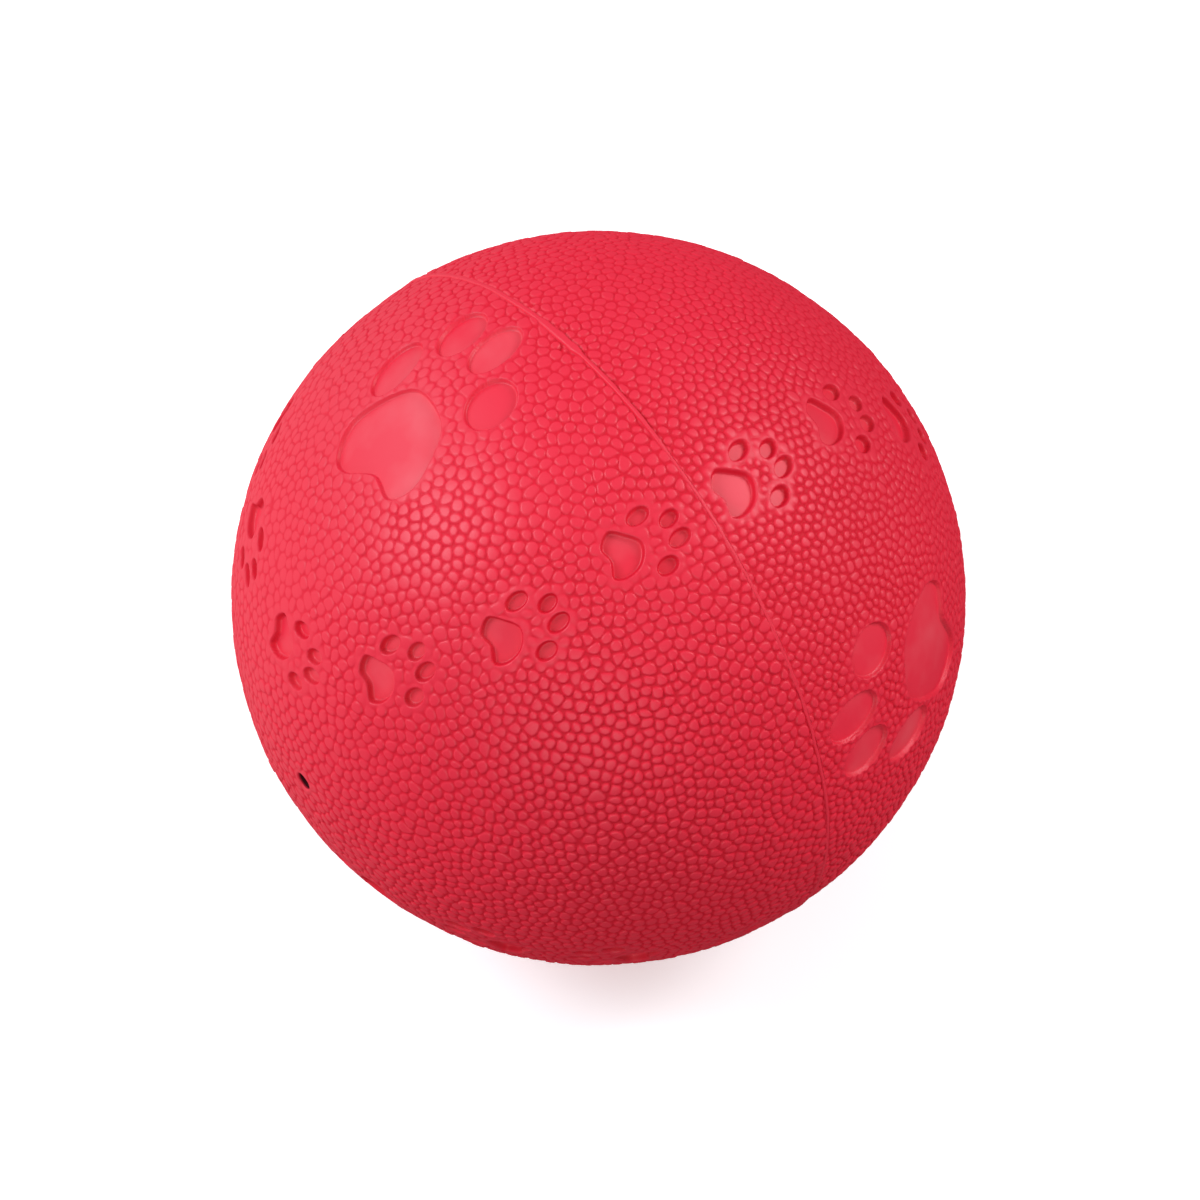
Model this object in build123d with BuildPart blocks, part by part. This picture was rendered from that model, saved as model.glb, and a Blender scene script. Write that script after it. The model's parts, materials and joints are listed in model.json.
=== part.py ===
"""Hollow rubber fetch ball with a trail of paw prints: two moulded half shells, cemented at the equator.

The mould axis is X, with the vented half shell on the -X side and the plain one on the +X side. They part
on the YZ plane. The origin is the centre of the ball, and +Z is up as the ball lies. All sizes are in mm.
"""

import os
from math import atan2, degrees, hypot, radians, sqrt

from build123d import *

# Driving dimensions
ball_d = 70.0
wall = 6.0
vent_d = 1.75
small_depth = 0.7
large_depth = 0.45

# The rim joint is a half-lap, filled with cement, whose flash stands out as a low ridge round the ball
lap = 2.5
glue_gap = 0.3
flash_width = 1.1
flash_height = 0.35

outer_r = ball_d / 2
inner_r = outer_r - wall
step_r = outer_r - wall / 2
half_gap = glue_gap / 2

# The trail of small prints runs round the ball like the seam of a tennis ball: along four meridians, with
# a turn near one pole or the other between each two. In degrees: latitude, how far round from the
# meridian, and heading. The latitude is along the way the trail runs, and so is the heading.
trail_roll = 27.2
trail = [
    (-54.7, -8, 12),
    (-33.1, 1, 0),
    (-10.8, 0, 0),
    (9.8, 0, -12),
    (32.3, -1, 3),
    (51.5, 7, 12),
    (66.7, 43, 90),
]
small_scale = {"vented": 1.0, "plain": 1.07}

# A large print lies inside each turn, with its toes to the equator
large_latitude = {"vented": 20.6, "plain": 20.0}
large_shift = 2.7

# A print, heading up, in thousandths of the ball's radius: the main pad's centre, and its outline round
# that; then each toe's centre, half width and half length, and its lean to the left in degrees
small_pad = (-18, -66)
small_outline = [
    (-66, -3),
    (-34, 34),
    (1, 58),
    (35, 48),
    (61, 16),
    (66, -29),
    (46, -57),
    (5, -40),
    (-38, -43),
]
small_toes = [(-76, 20, 23, 35, 5), (-27, 87, 22, 31, 12), (31, 84, 23, 35, 9), (76, 17, 24, 33, 7)]

large_pad = (-35, -150)
large_outline = [
    (5, 145),
    (-85, 122),
    (-172, -18),
    (-146, -120),
    (-84, -150),
    (25, -108),
    (117, -133),
    (166, -50),
    (120, 95),
]
large_toes = [(-212, 8, 60, 96, 5), (-130, 191, 60, 86, 12), (2, 210, 58, 92, 8), (138, 84, 68, 83, 10)]


def on_sphere(latitude, longitude, heading):
    """A frame at the ball's centre, z towards that place and y along the heading, from +X towards -Y."""
    return Rot(X=longitude) * Rot(Y=latitude) * Rot(Z=-90 - heading)


def pad_plane(place, x, y, lean=0):
    """The plane across the ball's axis at x, y of a print, a little under the deepest pad floors."""
    bearing = degrees(atan2(y, x))
    reach = degrees(hypot(x, y) / 1000)
    tilt = Rot(Z=bearing) * Rot(Y=reach) * Rot(Z=lean - bearing)
    return Plane(place * tilt * Pos(Z=outer_r - small_depth - 1))


def pads_of(place, pad, outline, toes, scale=1.0):
    """The sketches of one print's five pads, each on its own plane."""
    unit = outer_r * scale / 1000
    with BuildSketch(pad_plane(place, pad[0] * scale, pad[1] * scale)) as main_pad:
        with BuildLine():
            Spline(*[(x * unit, y * unit) for x, y in outline], periodic=True)
        make_face()
    pads = [main_pad.sketch]
    for x, y, half_width, half_length, lean in toes:
        with BuildSketch(pad_plane(place, x * scale, y * scale, lean)) as toe:
            Ellipse(half_width * unit, half_length * unit)
        pads.append(toe.sketch)
    return pads


def prints_on(half):
    """The places of the prints on one half shell: the small ones, then the large ones."""
    side = 1 if half == "plain" else -1
    small, large = [], []
    for turn in range(4):
        meridian = trail_roll + 90 * turn
        way = 1 if turn % 2 == 0 else -1
        for latitude, across, heading in trail:
            if way * latitude * side > 0:
                turned = heading if way > 0 else 180 - heading
                small.append(on_sphere(way * latitude, meridian + across, turned))
        if way == side:
            middle = meridian + 45 - way * large_shift
            latitude = way * large_latitude[half]
            large.append(on_sphere(latitude, middle, 180 if way > 0 else 0))
    return small, large


def small_cutter(half):
    """What the small prints take out of one half shell, down to floors that follow the ball."""
    with BuildPart() as cutter:
        for place in prints_on(half)[0]:
            for pad in pads_of(place, small_pad, small_outline, small_toes, small_scale[half]):
                extrude(pad, amount=small_depth + 2)
        Sphere(outer_r - small_depth, mode=Mode.SUBTRACT)
    return cutter.part


def large_cutter(half):
    """What the large prints take out of one half shell, down to their shallower floors."""
    with BuildPart() as cutter:
        for place in prints_on(half)[1]:
            for pad in pads_of(place, large_pad, large_outline, large_toes):
                extrude(pad, amount=small_depth + 2)
        Sphere(outer_r - large_depth, mode=Mode.SUBTRACT)
    return cutter.part


def rim_point(x, radius):
    """The point of a sphere's section at x."""
    return (x, sqrt(radius**2 - x**2))


def shell_section(side, butt_x, lap_x, lap_r):
    """Half the section of a half shell: the outer arc, the stepped rim, and the inner arc to the axis."""
    with BuildSketch() as section:
        with BuildLine():
            outer = ThreePointArc(
                (side * outer_r, 0), rim_point(side * outer_r / 2, outer_r), rim_point(butt_x, outer_r)
            )
            rim = Polyline(outer @ 1, (butt_x, lap_r), (lap_x, lap_r), rim_point(lap_x, inner_r))
            inner = ThreePointArc(rim @ 1, rim_point(side * inner_r / 2, inner_r), (side * inner_r, 0))
            Line(inner @ 1, outer @ 0)
        make_face()
    return section.sketch


with BuildPart() as vented_half_shell:
    revolve(shell_section(-1, -half_gap, lap - half_gap, step_r), axis=Axis.X)
    with BuildSketch(Plane.YZ.offset(-outer_r)):
        Circle(vent_d / 2)
    extrude(amount=2 * wall, mode=Mode.SUBTRACT)
    add(small_cutter("vented"), mode=Mode.SUBTRACT)
    add(large_cutter("vented"), mode=Mode.SUBTRACT)
vented_half_shell.part.label = "vented_half_shell"

with BuildPart() as plain_half_shell:
    revolve(shell_section(1, half_gap, lap + half_gap, step_r + glue_gap), axis=Axis.X)
    add(small_cutter("plain"), mode=Mode.SUBTRACT)
    add(large_cutter("plain"), mode=Mode.SUBTRACT)
plain_half_shell.part.label = "plain_half_shell"

# The cement fills the stepped gap between the rims, and ends in the flash ridge on the ball's surface
with BuildPart() as cement_seam:
    with BuildSketch(Plane.XY):
        with BuildLine():
            vented_rim = Polyline(
                rim_point(-half_gap, outer_r),
                (-half_gap, step_r),
                (lap - half_gap, step_r),
                rim_point(lap - half_gap, inner_r),
            )
            inside_end = rim_point(lap + half_gap, inner_r)
            inside = ThreePointArc(vented_rim @ 1, rim_point(lap, inner_r), inside_end)
            plain_rim = Polyline(
                inside @ 1,
                (lap + half_gap, step_r + glue_gap),
                (half_gap, step_r + glue_gap),
                rim_point(half_gap, outer_r),
            )
            foot = rim_point(flash_width / 2, outer_r)
            middle = rim_point((half_gap + flash_width / 2) / 2, outer_r)
            ThreePointArc(plain_rim @ 1, middle, foot)
            far_foot = rim_point(-flash_width / 2, outer_r)
            ThreePointArc(foot, (0, outer_r + flash_height), far_foot)
            far_middle = rim_point(-(half_gap + flash_width / 2) / 2, outer_r)
            ThreePointArc(far_foot, far_middle, vented_rim @ 0)
        make_face()
    revolve(axis=Axis.X)
cement_seam.part.label = "cement_seam"

os.makedirs("parts", exist_ok=True)
for piece in (vented_half_shell.part, plain_half_shell.part, cement_seam.part):
    export_step(piece, f"parts/{piece.label}.step")
    size = piece.bounding_box().size
    print(f"{piece.label}: {piece.volume / 1000:.2f} cm3, {size.X:.2f} x {size.Y:.2f} x {size.Z:.2f} mm")
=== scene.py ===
"""The looks of a hollow rubber fetch ball with paw prints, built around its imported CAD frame.

Each half shell is a closed skin of rubber: outside a pebble grain and recessed prints, inside the stepped
rim and the smooth hollow. The cement seam is a ring whose flash wavers in width and height. The mould axis
is X, with the vented half on the -X side. Sizes are in metres, and places on the ball are angles in radians,
unless stated.
"""

import json
import math

import bpy
import numpy as np
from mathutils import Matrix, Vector
from mathutils.kdtree import KDTree


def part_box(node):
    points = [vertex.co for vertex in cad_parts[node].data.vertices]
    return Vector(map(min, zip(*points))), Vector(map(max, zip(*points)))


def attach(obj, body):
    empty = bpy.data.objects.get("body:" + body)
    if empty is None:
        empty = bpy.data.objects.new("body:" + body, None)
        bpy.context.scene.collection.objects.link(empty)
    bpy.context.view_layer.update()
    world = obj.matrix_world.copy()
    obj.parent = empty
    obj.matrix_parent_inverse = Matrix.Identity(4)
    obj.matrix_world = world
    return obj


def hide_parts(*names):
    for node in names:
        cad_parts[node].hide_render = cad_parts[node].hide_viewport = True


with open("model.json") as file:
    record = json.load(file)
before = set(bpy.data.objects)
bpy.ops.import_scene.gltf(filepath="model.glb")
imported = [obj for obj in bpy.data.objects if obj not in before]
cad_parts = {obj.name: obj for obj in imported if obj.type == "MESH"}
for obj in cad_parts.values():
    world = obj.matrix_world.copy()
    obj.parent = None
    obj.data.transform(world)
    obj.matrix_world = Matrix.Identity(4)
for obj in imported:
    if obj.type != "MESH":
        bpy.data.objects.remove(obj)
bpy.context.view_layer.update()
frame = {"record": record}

# The ball's own sizes, from the frame
ball_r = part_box("plain_half_shell")[1].x
half_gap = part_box("plain_half_shell")[0].x
spigot_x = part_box("vented_half_shell")[1].x
vent = next(m for m in frame["record"]["mounts"] if m["name"] == "vent")
vent_r = vent["dims"]["r_mm"] / 1000
inner_r = ball_r - vent["dims"]["length_mm"] / 1000
step_r = (ball_r + inner_r) / 2
glue_gap = 2 * half_gap

# The vent's mouth: how far its clean lip reaches in, and how far the skin sinks round it
vent_lip = 0.00035
vent_sink = 0.00012

# The pebble grain of each half: its pitch, and where a pebble's shoulder starts and ends, in pitches in from
# its edge. The shoulder is wider towards -Y and where the grain has melted
groove_depth = 0.00016
pitch = {"vented": 0.0365, "plain": 0.0330}
shoulder = {"vented": (0.00, 0.10), "plain": (0.01, 0.115)}
shoulder_wider, shoulder_melted = 0.06, 0.10

# The relief in groove depths: the grooves and the pebbles' crowns at +Y, and what is added to each at -Y;
# how much the pebbles differ in height; and the share of the grooves that is left where the grain has melted
groove_relief, groove_relief_added = 0.62, 0.30
crown, crown_added = 0.07, 0.11
pebble_lift = 0.16
melted_relief = 0.16

# The slow unevenness of the whole skin
skin_waver = 0.00003

# Where the grain has melted, as ranges of distance: none is left at the first, and all of it at the second
melt_by_small = (0.004, 0.034)
melt_by_large = (0.0, 0.030)
melt_in_large = (-0.002, 0.006)
melt_by_seam = (-0.004, 0.007)
melt_by_vent = (0.004, 0.030)
melt_waver = 0.006

# Pits beside the torn flash: the angle round the seam in degrees, the distance from it, and the size
pits = {"vented": [(-7.5, -0.020, 0.015)], "plain": [(-18.3, 0.022, 0.011)]}
pit_depth = 0.00020
notch_depth = 0.00011

# The flash by zones round the seam: what each adds to half its width and to its height, and their limits
flash_zones = {
    "all": (0.00017, 0.00001),
    "broad": (0.00012, 0.00012),
    "torn": (0.00018, 0.00010),
    "ridge": (0.00005, 0.00016),
    "tear": (0.00012, 0.00006),
    "far": (0.00012, 0.00008),
}
flash_half_widths = (0.00017, 0.00058)
flash_heights = (0.00001, 0.00032)
flash_root = 0.00012
flash_steps = 2880

# The trail of small prints, in degrees: latitude along the way it runs, how far round, and heading
trail_roll = 27.2
trail = [
    (-54.7, -8, 12),
    (-33.1, 1, 0),
    (-10.8, 0, 0),
    (9.8, 0, -12),
    (32.3, -1, 3),
    (51.5, 7, 12),
    (66.7, 43, 90),
]
small_scale = {"vented": 1.0, "plain": 1.07}
large_latitude = {"vented": 20.6, "plain": 20.0}
large_shift = 2.7

# A print, heading up, in thousandths of the ball's radius: the main pad's centre, and its outline round
# that; then each toe's centre, half width and half length, and its lean to the left in degrees
small_pad = (-18, -66)
small_outline = [
    (-66, -3),
    (-34, 34),
    (1, 58),
    (35, 48),
    (61, 16),
    (66, -29),
    (46, -57),
    (5, -40),
    (-38, -43),
]
small_toes = [(-76, 20, 23, 35, 5), (-27, 87, 22, 31, 12), (31, 84, 23, 35, 9), (76, 17, 24, 33, 7)]

large_pad = (-35, -150)
large_outline = [
    (5, 145),
    (-85, 122),
    (-172, -18),
    (-146, -120),
    (-84, -150),
    (25, -108),
    (117, -133),
    (166, -50),
    (120, 95),
]
large_toes = [(-212, 8, 60, 96, 5), (-130, 191, 60, 86, 12), (2, 210, 58, 92, 8), (138, 84, 68, 83, 10)]

# The depth of the prints, how far they reach from their centres, and where their walls start and end as
# signed distances to the outlines
small_depth, large_depth = 0.0007, 0.00045
small_reach, large_reach = 0.22, 0.40
small_wall, large_wall = (0.0012, -0.0065), (0.0008, -0.0035)

# Mesh fineness: grid steps in a quarter turn, outside and inside
fine = 576
coarse = fine // 8


def smoothstep(low, high, x):
    """0 at low, 1 at high, and a smooth rise between."""
    t = np.clip((x - low) / (high - low), 0, 1)
    return t * t * (3 - 2 * t)


def waves(points, length, seed, terms=12):
    """Smooth noise of about -1 to 1, as a sum of plane waves."""
    rng = np.random.default_rng(seed)
    total = np.zeros(len(points))
    for _ in range(terms):
        way = rng.normal(size=3)
        way *= 2 * math.pi / (length * rng.uniform(0.8, 1.5) * np.linalg.norm(way))
        total += np.sin(points @ way + rng.uniform(0, 2 * math.pi))
    return total / math.sqrt(terms)


# ------------------------------------------------------------------------------------------- prints


def turned(axis, degrees):
    """A right-handed turn about X, Y or Z, as a matrix."""
    c, s = math.cos(math.radians(degrees)), math.sin(math.radians(degrees))
    i, j = {"X": (1, 2), "Y": (2, 0), "Z": (0, 1)}[axis]
    matrix = np.eye(3)
    matrix[i, i] = matrix[j, j] = c
    matrix[i, j], matrix[j, i] = -s, s
    return matrix


def on_sphere(latitude, longitude, heading):
    """The axes of a print, as columns: z outward, and y along its heading."""
    return turned("X", longitude) @ turned("Y", latitude) @ turned("Z", -90 - heading)


def prints_on(half):
    """The axes of the small prints on one half, and those of the large ones."""
    side = 1 if half == "plain" else -1
    small, large = [], []
    for turn in range(4):
        meridian = trail_roll + 90 * turn
        way = 1 if turn % 2 == 0 else -1
        for latitude, across, heading in trail:
            if way * latitude * side > 0:
                along = heading if way > 0 else 180 - heading
                small.append(on_sphere(way * latitude, meridian + across, along))
        if way == side:
            middle = meridian + 45 - way * large_shift
            latitude = way * large_latitude[half]
            large.append(on_sphere(latitude, middle, 180 if way > 0 else 0))
    return small, large


def toe_distance(x, y, toe):
    """Signed distance to a toe's oval, negative inside."""
    cx, cy, half_width, half_length, lean = toe
    c, s = math.cos(math.radians(lean)), math.sin(math.radians(lean))
    u, v = c * (x - cx) + s * (y - cy), c * (y - cy) - s * (x - cx)
    level = np.hypot(u / half_width, v / half_length)
    slope = np.hypot(u / half_width**2, v / half_length**2)
    return level * (level - 1) / np.maximum(slope, 1e-6)


def closed_curve(points, steps=10):
    """A smooth closed curve through the points."""
    p = np.array(points, float)
    before, after, later = np.roll(p, 1, 0), np.roll(p, -1, 0), np.roll(p, -2, 0)
    spans = []
    for t in np.linspace(0, 1, steps, endpoint=False):
        bend = before - 2.5 * p + 2 * after - 0.5 * later
        twist = 1.5 * (p - after) + 0.5 * (later - before)
        spans.append(p + 0.5 * t * (after - before) + t**2 * bend + t**3 * twist)
    return np.stack(spans, 1).reshape(-1, 2)


def pad_distance(x, y, pad, outline):
    """Signed distance to a main pad's outline, negative inside."""
    ring = closed_curve(outline) + pad
    nearest = np.full(len(x), np.inf)
    inside = np.zeros(len(x), bool)
    for (ax, ay), (bx, by) in zip(ring, np.roll(ring, -1, 0)):
        ex, ey = bx - ax, by - ay
        t = np.clip(((x - ax) * ex + (y - ay) * ey) / (ex * ex + ey * ey), 0, 1)
        nearest = np.minimum(nearest, np.hypot(x - ax - t * ex, y - ay - t * ey))
        if ay != by:
            inside ^= ((ay > y) != (by > y)) & (x < ax + (y - ay) * ex / ey)
    return np.where(inside, -nearest, nearest)


def print_distance(points, places, pad, outline, toes, scale, reach):
    """Signed distance from each point to the nearest pad of these prints. It is 1 beyond their reach."""
    unit = scale / 1000
    distance = np.ones(len(points))
    for axes in places:
        near = np.flatnonzero(points @ axes[:, 2] > math.cos(reach))
        p = points[near] @ axes
        flat = np.hypot(p[:, 0], p[:, 1])
        ratio = np.arctan2(flat, p[:, 2]) / np.maximum(flat, 1e-9) / unit
        x, y = p[:, 0] * ratio, p[:, 1] * ratio
        here = pad_distance(x, y, pad, outline)
        for toe in toes:
            here = np.minimum(here, toe_distance(x, y, toe))
        distance[near] = np.minimum(distance[near], here * unit)
    return distance


# ------------------------------------------------------------------------------------------- grain


def sow(apart, side, seed):
    """The centres of the pebbles of one half, about so far apart, as points of the unit sphere. They start
    as a shaken spiral, and then push each other to even distances."""
    rounds, neighbours = 14, 8
    cell_area = 0.87 * apart**2
    shake = 0.60 * apart
    rest_gap = 1.1 * apart
    push = 0.25

    rng = np.random.default_rng(seed)
    count = int(4 * math.pi / cell_area)
    k = np.arange(count) + 0.5
    x = 1 - 2 * k / count
    spin = k * math.pi * (1 + math.sqrt(5))
    ring = np.sqrt(1 - x**2)
    seeds = np.stack([x, ring * np.cos(spin), ring * np.sin(spin)], 1)
    seeds = seeds[side * x > -3 * apart]
    seeds += rng.normal(0, shake, seeds.shape)
    seeds /= np.linalg.norm(seeds, axis=1, keepdims=True)
    for _ in range(rounds):
        tree = tree_of(seeds)
        near = [tree.find_n(place, neighbours) for place in seeds.tolist()]
        others = np.array([[j for _, j, _ in found] for found in near])
        gaps = np.array([[gap for _, _, gap in found] for found in near])
        away = (seeds[:, None] - seeds[others]) / np.maximum(gaps, 1e-6)[..., None]
        seeds += (away * np.maximum(0, rest_gap - gaps)[..., None]).sum(1) * push
        seeds /= np.linalg.norm(seeds, axis=1, keepdims=True)
    return seeds


def tree_of(points):
    """A tree that finds the points nearest to a place."""
    tree = KDTree(len(points))
    for i, point in enumerate(points.tolist()):
        tree.insert(point, i)
    tree.balance()
    return tree


def spread(points, factor):
    """Moves points of the unit sphere away from -Y, without changing small shapes. A pattern laid on the
    moved points comes out finer at -Y and coarser at +Y."""
    y = points[:, 1]
    half_tan = np.sqrt((1 + y) / np.maximum(1 - y, 1e-9)) * factor
    new_y = (half_tan**2 - 1) / (half_tan**2 + 1)
    moved = points * (np.sqrt(1 - new_y**2) / np.sqrt(np.maximum(1 - y**2, 1e-12)))[:, None]
    moved[:, 1] = new_y
    return moved


def pebbles(points, half):
    """For each point: how far it is in from its pebble's edge, in pitches, and the number of its pebble.
    A pebble is what lies nearest to its seed, and the edges between three pebbles are rounded."""
    finer = 1.13
    size_spread, smallest, largest = 0.10, 0.77, 1.25
    most_stretch = 0.25
    seeds_looked_at = 17
    warp_length, warp_share = 0.05, 0.05
    sharpness, groove_start = 7, 0.05
    block = 40000

    side = 1 if half == "plain" else -1
    apart = pitch[half]
    points = spread(points, finer)
    seeds = sow(apart, side, 11 if side > 0 else 12)
    rng = np.random.default_rng(21 + side)
    size = np.clip(np.exp(rng.normal(0, size_spread, len(seeds))), smallest, largest)
    stretch = rng.uniform(0.0, most_stretch, len(seeds))
    lie = np.cross(seeds, rng.normal(size=seeds.shape))
    lie /= np.linalg.norm(lie, axis=1, keepdims=True)
    tree = tree_of(seeds)
    around = np.array([[j for _, j, _ in tree.find_n(s, seeds_looked_at)] for s in seeds.tolist()])
    nearest = np.array([tree.find(p)[1] for p in points.tolist()])
    warp = np.stack([waves(points, warp_length, 30 + side + k) for k in (0, 3, 6)], 1)
    warp = warp * warp_share * apart
    edge = np.empty(len(points))
    owner = np.empty(len(points), int)
    for start in range(0, len(points), block):
        part = slice(start, start + block)
        ids = around[nearest[part]]
        gap = (points[part] + warp[part])[:, None] - seeds[ids]
        along = np.einsum("ijk,ijk->ij", gap, lie[ids])
        far = np.sqrt(np.einsum("ijk,ijk->ij", gap, gap) - along**2 * stretch[ids]) / size[ids]
        order = np.argsort(far, axis=1)[:, :3]
        first, second, third = np.take_along_axis(far, order, 1).T
        own = np.take_along_axis(ids, order[:, :1], 1)[:, 0]
        to_one, to_two = (second - first) / apart / 2, (third - first) / apart / 2
        both = np.exp(-sharpness * to_one) + np.exp(-sharpness * to_two)
        edge[part] = -np.log(both) / sharpness + groove_start
        owner[part] = own
    return edge * size[owner], owner


# ------------------------------------------------------------------------------------------- flash


def around_seam(y, z):
    """The angle round the seam, from straight up towards -Y, in degrees from -180 to 180."""
    return np.degrees(np.arctan2(-y, z))


def bump(angle, middle, width):
    """A soft bump of height 1 at an angle round the seam, in degrees."""
    return np.exp(-(((angle - middle + 180) % 360 - 180) / width) ** 2)


def beside_flash(half, points):
    """How deep a notch runs along the foot of the flash on one half, as a share from 0 to 1."""
    angle = around_seam(points[:, 1], points[:, 2])
    if half == "plain":
        return smoothstep(-45, -25, angle) - smoothstep(14, 20, angle)
    return 0.6 * (smoothstep(56, 62, angle) - smoothstep(76, 84, angle))


def flash_size(angle):
    """Half the flash's width and its height at angles round the seam, in degrees. It is broad and flat on
    one side, torn in two places, then a narrow ridge, and trimmed nearly flush in front."""
    ring = np.stack([np.cos(np.radians(angle)), np.sin(np.radians(angle)), 0 * angle], 1)
    slow, quick = waves(ring, 0.8, 41), waves(ring, 0.07, 42)
    shares = {
        "all": 1.0,
        "broad": smoothstep(-75, -50, angle) - smoothstep(-7, -3, angle),
        "torn": smoothstep(-15, -12, angle) - smoothstep(-7, -4, angle),
        "ridge": smoothstep(-7, -3, angle) - smoothstep(13, 19, angle),
        "tear": bump(angle, -13.9, 0.9) + bump(angle, -5.9, 1.2),
        "far": smoothstep(100, 120, np.abs(angle)),
    }
    half_width = sum(flash_zones[zone][0] * share for zone, share in shares.items())
    height = sum(flash_zones[zone][1] * share for zone, share in shares.items())
    half_width *= 1 + 0.08 * slow + 0.13 * quick
    height *= 1 + 0.22 * slow + 0.20 * quick
    return np.clip(half_width, *flash_half_widths), np.clip(height, *flash_heights)


# ------------------------------------------------------------------------------------------- skins


def ring_places(k):
    """Grid places of square ring k about the pole, from the first axis towards the second."""
    m = np.arange(8 * k)
    side = [m <= k, m <= 3 * k, m <= 5 * k, m <= 7 * k]
    return (
        np.select(side, [k, 2 * k - m, -k, m - 6 * k], k),
        np.select(side, [m, k, 4 * k - m, -k], m - 8 * k),
    )


def dome(steps, reach, hole_angle=0.0, hole_ring=0):
    """An even grid of directions over a cap about +Z, out to an angle of reach. It may have a round hole at
    the pole, and then hole_ring is the square ring of the grid that becomes the hole's edge. Returns the
    directions, the quads, and the rings of points at the hole and at the rim."""
    square_from = 0.8
    widen = (0.2, 0.9)
    half = steps // 2
    step = math.pi / 2 / steps
    ids = np.arange((steps + 1) ** 2).reshape(steps + 1, steps + 1)
    directions = np.zeros((len(ids) ** 2, 3))
    directions[ids[half, half]] = (0, 0, 1)
    hole_step = hole_angle / hole_ring if hole_ring else step
    for k in range(max(1, hole_ring), half + 1):
        i, j = ring_places(k)
        square = np.stack([np.tan(i * step), np.tan(j * step), np.ones(len(i))], 1)
        square /= np.linalg.norm(square, axis=1, keepdims=True)
        spin = np.arange(8 * k) * math.pi / (4 * k)
        off = k * hole_step
        circle = np.stack([np.cos(spin) * math.sin(off), np.sin(spin) * math.sin(off), 0 * spin], 1)
        circle[:, 2] = math.cos(off)
        share = smoothstep(max(2, hole_ring), half * square_from, k)
        directions[ids[i + half, j + half]] = circle * (1 - share) + square * share
    i, j = ring_places(half)
    rim = ids[i + half, j + half]
    lower = []
    for k in range(1, half + 1):
        height = math.tan(math.pi / 4 - k * step)
        lower.append(np.stack([np.tan(i * step), np.tan(j * step), np.full(len(i), height)], 1))
    rings = np.vstack([rim, len(directions) + np.arange(half * len(i)).reshape(half, -1)])
    directions = np.vstack([directions, *lower])
    directions /= np.maximum(np.linalg.norm(directions, axis=1, keepdims=True), 1e-9)

    off = np.arccos(np.clip(directions[:, 2], -1, 1))
    wider = off * reach / (math.pi / 2)
    share = smoothstep(*widen, off)
    off_new = off * (1 - share) + wider * share
    flat = np.maximum(np.hypot(directions[:, 0], directions[:, 1]), 1e-12)
    directions[:, :2] *= (np.sin(off_new) / flat)[:, None]
    directions[:, 2] = np.cos(off_new)

    a, b, c, d = ids[:-1, :-1], ids[1:, :-1], ids[1:, 1:], ids[:-1, 1:]
    top = np.stack([a, b, c, d], -1).reshape(-1, 4)
    if hole_ring:
        span = np.arange(steps) - half
        inside = (span >= -hole_ring) & (span < hole_ring)
        top = top[~(inside[:, None] & inside[None, :]).ravel()]
    quads = np.vstack([top, *(band(rings[k], rings[k + 1]) for k in range(half))])
    hole = None
    if hole_ring:
        i, j = ring_places(hole_ring)
        hole = ids[i + half, j + half]
    return directions, quads, hole, rings[-1]


def band(ring, next_ring):
    """Quads between two rings of the same number of points."""
    return np.stack([ring, next_ring, np.roll(next_ring, -1), np.roll(ring, -1)], 1)


def fan(many, few):
    """Faces between a ring of many points and one of few."""
    ratio = len(many) // len(few)
    starts = np.arange(len(few)) * ratio
    across = many[(starts[:, None] + np.arange(ratio, -1, -1)) % len(many)]
    return np.hstack([few[:, None], np.roll(few, -1)[:, None], across])


def ring_points(count, along, radius, axes):
    """A ring of points round the last of the axes, so far along it."""
    spin = np.arange(count) * 2 * math.pi / count
    return np.stack([radius * np.cos(spin), radius * np.sin(spin), np.full(count, along)], 1) @ axes


def build_mesh(name, points, faces, flat):
    """A mesh of faces of several sizes. Each group of faces is smooth, or flat if its number is in flat."""
    used = np.unique(np.concatenate([f.ravel() for f in faces]))
    renumber = np.zeros(len(points), int)
    renumber[used] = np.arange(len(used))
    loops = renumber[np.concatenate([f.ravel() for f in faces])]
    sizes = np.concatenate([np.full(len(f), f.shape[1]) for f in faces])
    smooth = np.concatenate([np.full(len(f), k not in flat) for k, f in enumerate(faces)])
    mesh = bpy.data.meshes.new(name)
    mesh.vertices.add(len(used))
    mesh.vertices.foreach_set("co", points[used].astype(np.float32).ravel())
    mesh.loops.add(len(loops))
    mesh.loops.foreach_set("vertex_index", loops.astype(np.int32))
    mesh.polygons.add(len(sizes))
    mesh.polygons.foreach_set("loop_start", (np.cumsum(sizes) - sizes).astype(np.int32))
    mesh.polygons.foreach_set("use_smooth", smooth)
    mesh.update(calc_edges=True)
    return mesh, used


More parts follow.
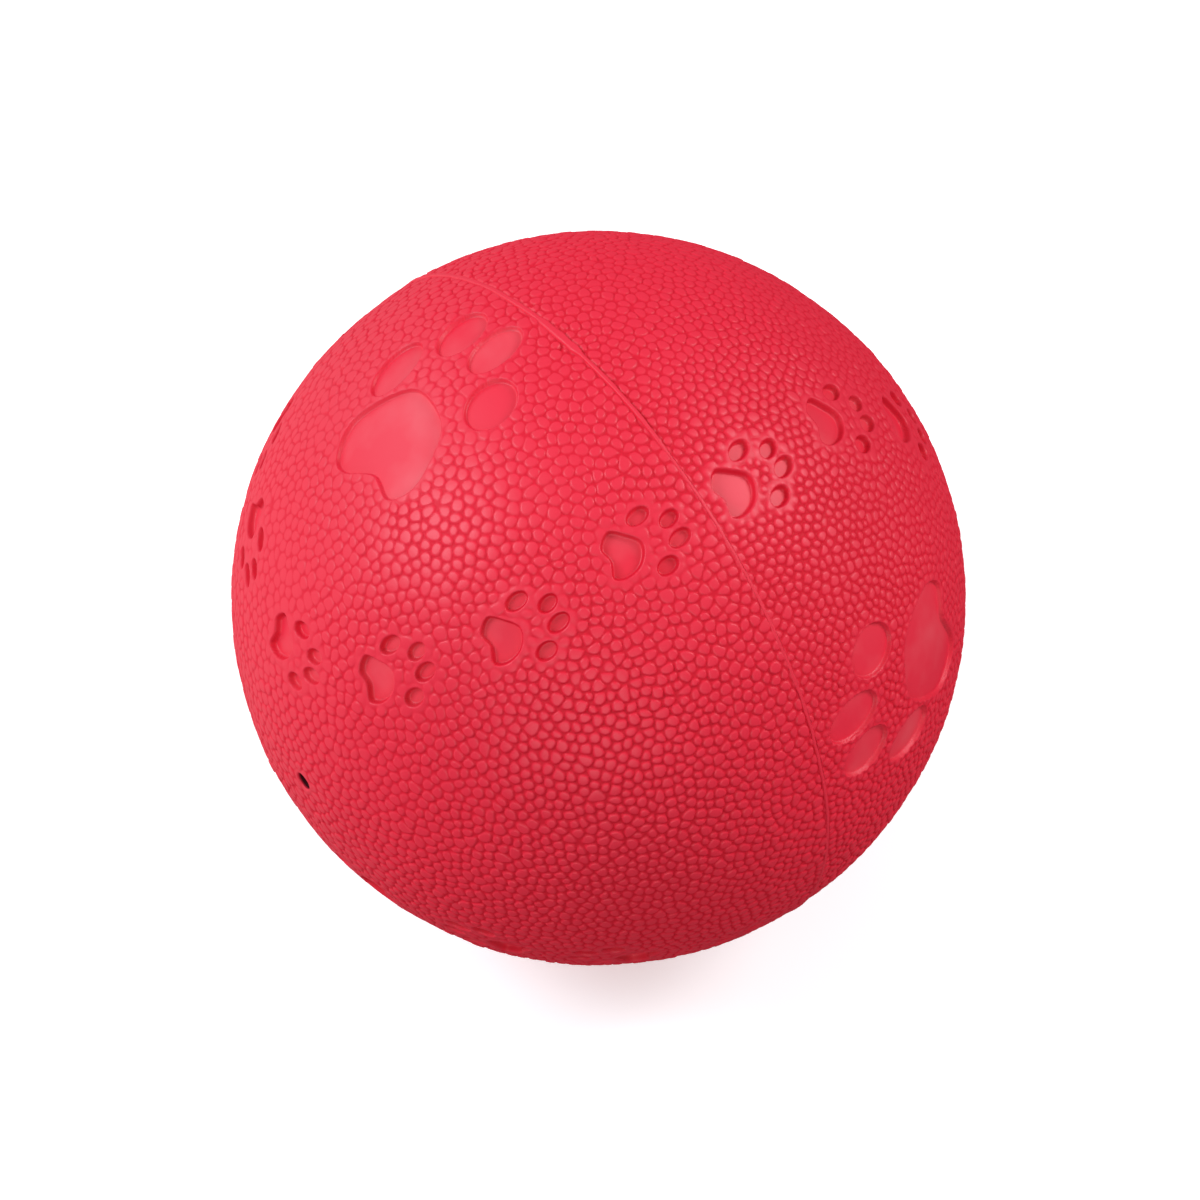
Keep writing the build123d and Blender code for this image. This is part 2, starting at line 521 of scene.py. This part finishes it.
def skin(half):
    """One half shell as a closed skin: the pebbled outside with its prints, the stepped rim, the inside,
    and the vent's bore if it has one."""
    side = 1 if half == "plain" else -1
    across = [[0, 1, 0], [0, 0, 1]] if side > 0 else [[0, 0, 1], [0, 1, 0]]
    axes = np.array([*across, [side, 0, 0]], float)
    hole_angle = math.asin(vent_r / ball_r) if side < 0 else 0
    hole_ring = round(hole_angle / (math.pi / 2 / fine))
    outer, outer_quads, hole, rim = dome(fine, math.acos(half_gap / ball_r), hole_angle, hole_ring)
    outer = outer @ axes
    lap_end = spigot_x if side < 0 else spigot_x + glue_gap
    lap_r = step_r if side < 0 else step_r + glue_gap
    # The inside's grid is coarser, so its hole is a ring of 8 points at twice the vent's radius
    inner_hole = 2 * vent_r / inner_r if side < 0 else 0
    inner, inner_quads, inner_ring, inner_rim = dome(
        coarse, math.acos(side * lap_end / inner_r), inner_hole, 1 if side < 0 else 0
    )
    inner = inner @ axes * inner_r

    height, groove, floor = surface(outer, half)
    count = len(inner_rim)
    rings = [
        ring_points(count, half_gap, lap_r, axes),
        ring_points(count, side * lap_end, lap_r, axes),
    ]
    points = [outer * (ball_r + height)[:, None], inner, *rings]
    first = np.cumsum([0] + [len(p) for p in points])
    butt = first[2] + np.arange(count)
    lap = first[3] + np.arange(count)
    rim_fan = fan(rim, butt)
    faces = [outer_quads, inner_quads[:, ::-1] + first[1], rim_fan, band(butt, lap)]
    faces.append(band(lap, inner_rim + first[1]))
    if side < 0:
        lip = first[4] + np.arange(len(hole))
        bore = lip + len(hole)
        points.append(ring_points(len(hole), ball_r - vent_lip, vent_r, axes))
        points.append(ring_points(len(hole), math.sqrt(inner_r**2 - vent_r**2), vent_r, axes))
        faces.append(band(lip, hole))
        faces.append(band(bore, lip))
        faces.append(fan(bore, inner_ring + first[1])[:, ::-1])
    points = np.vstack(points)
    mesh, used = build_mesh(f"{half}_skin", points, faces, flat=range(2, len(faces)))
    # Attributes for the material: groove places painted shade in the grooves and on the prints' walls, floor
    # marks the prints' floors, and the last is painted shade, 1 on the vent's lip and bore
    for name, values in (("groove", groove), ("floor", floor), ("vent_shade", 0 * floor)):
        every = np.zeros(len(points))
        every[: len(values)] = values
        if name == "vent_shade" and side < 0:
            every[first[4] :] = 1
        values_on_mesh = mesh.attributes.new(name, "FLOAT", "POINT").data
        values_on_mesh.foreach_set("value", every[used].astype(np.float32))
    return mesh


def grain_left(points, to_small, to_large, to_seam, to_vent):
    """How much of the grain is left at each point, from 0 to 1. It has melted away round the prints, beside
    the seam and round the vent."""
    left = smoothstep(*melt_by_small, to_small + melt_waver * waves(points, 0.05, 53))
    left *= 0.35 + 0.65 * smoothstep(*melt_by_large, to_large + melt_waver * waves(points, 0.05, 55))
    left *= smoothstep(*melt_in_large, to_large) * smoothstep(*melt_by_seam, to_seam)
    left *= smoothstep(*melt_by_vent, to_vent)
    return left


def surface(points, half):
    """Height of the skin over the round ball at points of the unit sphere, then how much painted shade each
    point gets, from its depth in a groove and its place on the walls of a print, and how deep in a print it
    is, both from 0 to 1."""
    small, large = prints_on(half)
    scale = small_scale[half]
    reach = small_reach * scale
    to_small = print_distance(points, small, small_pad, small_outline, small_toes, scale, reach)
    to_large = print_distance(points, large, large_pad, large_outline, large_toes, 1.0, large_reach)
    flash, _ = flash_size(around_seam(points[:, 1], points[:, 2]))
    to_seam = np.arcsin(np.abs(points[:, 0])) - flash / ball_r
    to_vent = np.arccos(np.clip(-points[:, 0], -1, 1)) - vent_r / ball_r
    edge, owner = pebbles(points, half)

    # The relief is stronger towards -Y, which is the front, and fainter near the plain pole and on the
    # vented half near +Y
    rng = np.random.default_rng(51)
    lift = rng.normal(0, pebble_lift, owner.max() + 1)[owner]
    front = smoothstep(-0.6, 0.8, -points[:, 1] + 0.15 * waves(points, 0.5, 52))
    left = grain_left(points, to_small, to_large, to_seam, to_vent)
    foot, top = shoulder[half]
    rise = smoothstep(foot, top + shoulder_wider * front + shoulder_melted * (1 - left), edge)
    crowned = (crown + crown_added * front) * smoothstep(0.05, 0.5, edge)
    relief = groove_relief + groove_relief_added * front
    relief *= 1 - 0.4 * smoothstep(0.3, 0.75, points[:, 0])
    relief *= 1 - 0.35 * (1 - front) * smoothstep(0.1, -0.5, points[:, 0])
    grooves = (1 - rise) * (melted_relief + (1 - melted_relief) * left) * relief
    height = groove_depth * (crowned + lift * rise * left - grooves)
    height += skin_waver * waves(points, 0.25, 54)

    # The prints, and what is sunk at the vent and beside the flash
    in_small = smoothstep(*small_wall, to_small)
    in_large = smoothstep(*large_wall, to_large)
    inside = np.maximum(in_small, in_large)
    height = height * (1 - inside) - np.maximum(small_depth * in_small, large_depth * in_large)
    height -= vent_sink * smoothstep(0.004, 0.0, to_vent)
    height -= notch_depth * beside_flash(half, points) * smoothstep(0.007, 0.001, to_seam)
    for angle, off, size in pits[half]:
        spot = np.array([off, -math.sin(math.radians(angle)), math.cos(math.radians(angle))])
        height -= pit_depth * smoothstep(size, 0.3 * size, np.linalg.norm(points - spot, axis=1))
    # Painted shade on the walls of the prints, strongest halfway down them
    walls = 3 * in_small * (1 - in_small) + in_large * (1 - in_large)
    return height, np.maximum(grooves * (1 - inside), walls), inside


def seam_ring():
    """The cement in the stepped gap, with the flash that stands out of it, as a closed ring."""
    root_drop = 0.0001
    squareness = 7
    profile_steps = 13

    angle = np.arange(flash_steps) * 360 / flash_steps - 180
    half_width, height = flash_size(angle)
    ring = np.stack([np.cos(np.radians(angle)), np.sin(np.radians(angle)), 0 * angle], 1)
    drift = 0.00003 * waves(ring, 0.25, 43) + 0.00002 * waves(ring, 0.06, 44)
    foot_r = ball_r - flash_root
    stepped_gap = [
        (-half_gap, foot_r - root_drop),
        (-half_gap, step_r),
        (spigot_x, step_r),
        (spigot_x, inner_r),
        (spigot_x + glue_gap, inner_r),
        (spigot_x + glue_gap, step_r + glue_gap),
        (half_gap, step_r + glue_gap),
        (half_gap, foot_r - root_drop),
    ]
    section = [(np.full(flash_steps, x), np.full(flash_steps, r)) for x, r in stepped_gap]
    for s in np.cos(np.linspace(0, math.pi, profile_steps)):
        x = s * half_width + drift
        swell = (1 - abs(s) ** squareness) * (height + ball_r - foot_r)
        section.append((x, np.sqrt(foot_r**2 - x**2) + swell))
    rows = [
        np.stack([x, -r * np.sin(np.radians(angle)), r * np.cos(np.radians(angle))], 1) for x, r in section
    ]
    ids = np.arange(len(rows) * flash_steps).reshape(len(rows), flash_steps)
    faces = [band(ids[k], ids[(k + 1) % len(rows)]) for k in range(len(rows))]
    mesh, _ = build_mesh("cement_flash", np.vstack(rows), faces, flat=range(len(stepped_gap)))
    return mesh


# ------------------------------------------------------------------------------------------- looks


def attribute(nodes, name):
    """A mesh attribute, as a socket of a new node."""
    node = nodes.new("ShaderNodeAttribute")
    node.attribute_name = name
    return node.outputs["Fac"]


def map_range(nodes, links, value, span, results, kind="LINEAR"):
    """A value mapped from a span to between two results, and kept between them, as a socket."""
    node = nodes.new("ShaderNodeMapRange")
    node.interpolation_type = kind
    node.inputs["From Min"].default_value, node.inputs["From Max"].default_value = span
    node.inputs["To Min"].default_value, node.inputs["To Max"].default_value = results
    links.new(value, node.inputs["Value"])
    return node.outputs["Result"]


def blend_colour(nodes, links, share, over):
    """A node that blends the colour in its socket A towards another by a share."""
    node = nodes.new("ShaderNodeMix")
    node.data_type = "RGBA"
    node.inputs["B"].default_value = (*over, 1)
    links.new(share, node.inputs["Factor"])
    return node


def rubber(name, tint):
    """Matte red rubber: painted shade, a darker red with less sheen, in the grooves and on the walls of the
    prints, a faint chalky bloom on the floors of the prints, and painted shade, nearly black, in the vent."""
    # Painted shade: the factor that darkens the red in the grooves and on the walls of the prints
    painted_groove_shade = (0.80, 0.65, 0.60)
    chalk_colour = (0.9, 0.5, 0.5)
    # Painted shade, nearly black, for the vent's lip and bore
    vent_shade_colour = (0.05, 0.004, 0.006)

    material = bpy.data.materials.new(name)
    material.use_nodes = True
    nodes, links = material.node_tree.nodes, material.node_tree.links
    shader = nodes["Principled BSDF"]
    groove = attribute(nodes, "groove")
    floor = attribute(nodes, "floor")
    where = nodes.new("ShaderNodeTexCoord")
    cloud = nodes.new("ShaderNodeTexNoise")
    cloud.inputs["Scale"].default_value = 160
    cloud.inputs["Detail"].default_value = 3
    links.new(where.outputs["Object"], cloud.inputs["Vector"])
    bloom = map_range(nodes, links, cloud.outputs["Fac"], (0.45, 0.75), (0.0, 0.09))
    on_floor = nodes.new("ShaderNodeMath")
    on_floor.operation = "MULTIPLY"
    links.new(bloom, on_floor.inputs[0])
    links.new(floor, on_floor.inputs[1])

    # Painted shade: the red darkened in the grooves and on the walls of the prints
    deep = blend_colour(nodes, links, groove, [t * g for t, g in zip(tint, painted_groove_shade)])
    deep.inputs["A"].default_value = (*tint, 1)
    chalk = blend_colour(nodes, links, on_floor.outputs["Value"], chalk_colour)
    links.new(deep.outputs["Result"], chalk.inputs["A"])
    # Painted shade: the vent's lip and bore darkened nearly to black
    vent_shaded = blend_colour(nodes, links, attribute(nodes, "vent_shade"), vent_shade_colour)
    links.new(chalk.outputs["Result"], vent_shaded.inputs["A"])
    links.new(vent_shaded.outputs["Result"], shader.inputs["Base Color"])

    links.new(map_range(nodes, links, groove, (0.0, 0.6), (0.28, 0.06)), shader.inputs["Coat Weight"])
    shader.inputs["Roughness"].default_value = 0.6
    shader.inputs["Specular IOR Level"].default_value = 0.0
    shader.inputs["Coat IOR"].default_value = 2.0
    shader.inputs["Coat Roughness"].default_value = 0.43
    return material


def add_piece(mesh, name, node, material):
    """Shows a mesh in place of a CAD node, with that material, under the root body."""
    piece = bpy.data.objects.new(name, mesh)
    bpy.context.scene.collection.objects.link(piece)
    mesh.materials.append(material)
    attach(piece, "root")
    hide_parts(node)


def area_light(name, place, size, power, colour=(1, 1, 1)):
    """A square soft light at a place, aimed at the ball."""
    data = bpy.data.lights.new(name, "AREA")
    data.shape = "SQUARE"
    data.size = size
    data.energy = power
    data.color = colour
    light = bpy.data.objects.new(name, data)
    light.location = place
    light.rotation_euler = (-Vector(place)).to_track_quat("-Z", "Y").to_euler()
    bpy.context.scene.collection.objects.link(light)


def sky_glow(nodes, links, sky_way, way, cosines, strengths):
    """A soft glow of the sky, as a socket. Its strength changes with the cosine of the angle from its way."""
    along = nodes.new("ShaderNodeVectorMath")
    along.operation = "DOT_PRODUCT"
    along.inputs[1].default_value = Vector(way).normalized()
    links.new(sky_way, along.inputs[0])
    return map_range(nodes, links, along.outputs["Value"], cosines, strengths, "SMOOTHSTEP")


red = rubber("red_rubber", (0.79, 0.020, 0.049))
cement = rubber("red_rubber_cement", (0.79, 0.022, 0.051))
add_piece(skin("vented"), "vented_half_skin", "vented_half_shell", red)
add_piece(skin("plain"), "plain_half_skin", "plain_half_shell", red)
add_piece(seam_ring(), "cement_flash", "cement_seam", cement)

# ------------------------------------------------------------------------------------------- set

floor_reach = 30
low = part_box("cement_seam")[0].z
corners = [(x * floor_reach, y * floor_reach, low) for x, y in ((-1, -1), (1, -1), (1, 1), (-1, 1))]
floor_mesh = bpy.data.meshes.new("floor")
floor_mesh.from_pydata(corners, [], [(0, 1, 2, 3)])
floor_piece = bpy.data.objects.new("floor", floor_mesh)
bpy.context.scene.collection.objects.link(floor_piece)
pale = bpy.data.materials.new("pale_floor")
pale.use_nodes = True
paint = pale.node_tree.nodes["Principled BSDF"].inputs
paint["Base Color"].default_value = (0.9, 0.9, 0.9, 1)
paint["Roughness"].default_value = 0.9
paint["Specular IOR Level"].default_value = 0.0
paint["Emission Color"].default_value = (1, 1, 1, 1)
paint["Emission Strength"].default_value = 0.40
floor_mesh.materials.append(pale)
# The ball is lit as if it hung clear of the floor, which neither lights it nor shows in it
floor_piece.visible_diffuse = False
floor_piece.visible_glossy = False

world = bpy.data.worlds.new("studio")
world.use_nodes = True
world_nodes, world_links = world.node_tree.nodes, world.node_tree.links
sky_way = world_nodes.new("ShaderNodeTexCoord").outputs["Generated"]
whole_sky = world_nodes.new("ShaderNodeMath")
overhead = sky_glow(world_nodes, world_links, sky_way, (0, 0, 1), (0.2, 0.9), (0.22, 0.43))
low_back = sky_glow(world_nodes, world_links, sky_way, (-0.42, 0.86, -0.28), (0.45, 0.95), (0.0, 0.95))
world_links.new(overhead, whole_sky.inputs[0])
world_links.new(low_back, whole_sky.inputs[1])
world_links.new(whole_sky.outputs["Value"], world_nodes["Background"].inputs["Strength"])
world_nodes["Background"].inputs["Color"].default_value = (1, 1, 1, 1)
bpy.context.scene.world = world
bpy.context.scene.view_settings.view_transform = "Standard"

area_light("left_high", (-0.56, 0.36, 0.60), 0.35, 4.0, (0.89, 1.05, 1.14))
area_light("back_left", (-0.20, 0.80, 0.42), 0.30, 1.2, (0.85, 1.0, 1.10))
area_light("right_high", (0.62, -0.30, 0.62), 0.35, 4.3, (0.97, 1.0, 1.05))
area_light("front_left", (-0.58, -0.63, 0.27), 0.60, 2.7)
area_light("right_low", (0.76, -0.52, 0.19), 0.50, 1.1)

camera_way = Vector((-0.362, -0.469, 0.8055)).normalized()
camera_distance = 0.7
camera_data = bpy.data.cameras.new("camera")
camera_data.lens = 220.04
camera_data.sensor_width = 36
camera_data.shift_x = 0.00113
camera_data.shift_y = -0.00168
camera = bpy.data.objects.new("camera", camera_data)
camera.location = camera_way * camera_distance
camera.rotation_euler = (-camera_way).to_track_quat("-Z", "Y").to_euler()
bpy.context.scene.collection.objects.link(camera)
bpy.context.scene.camera = camera
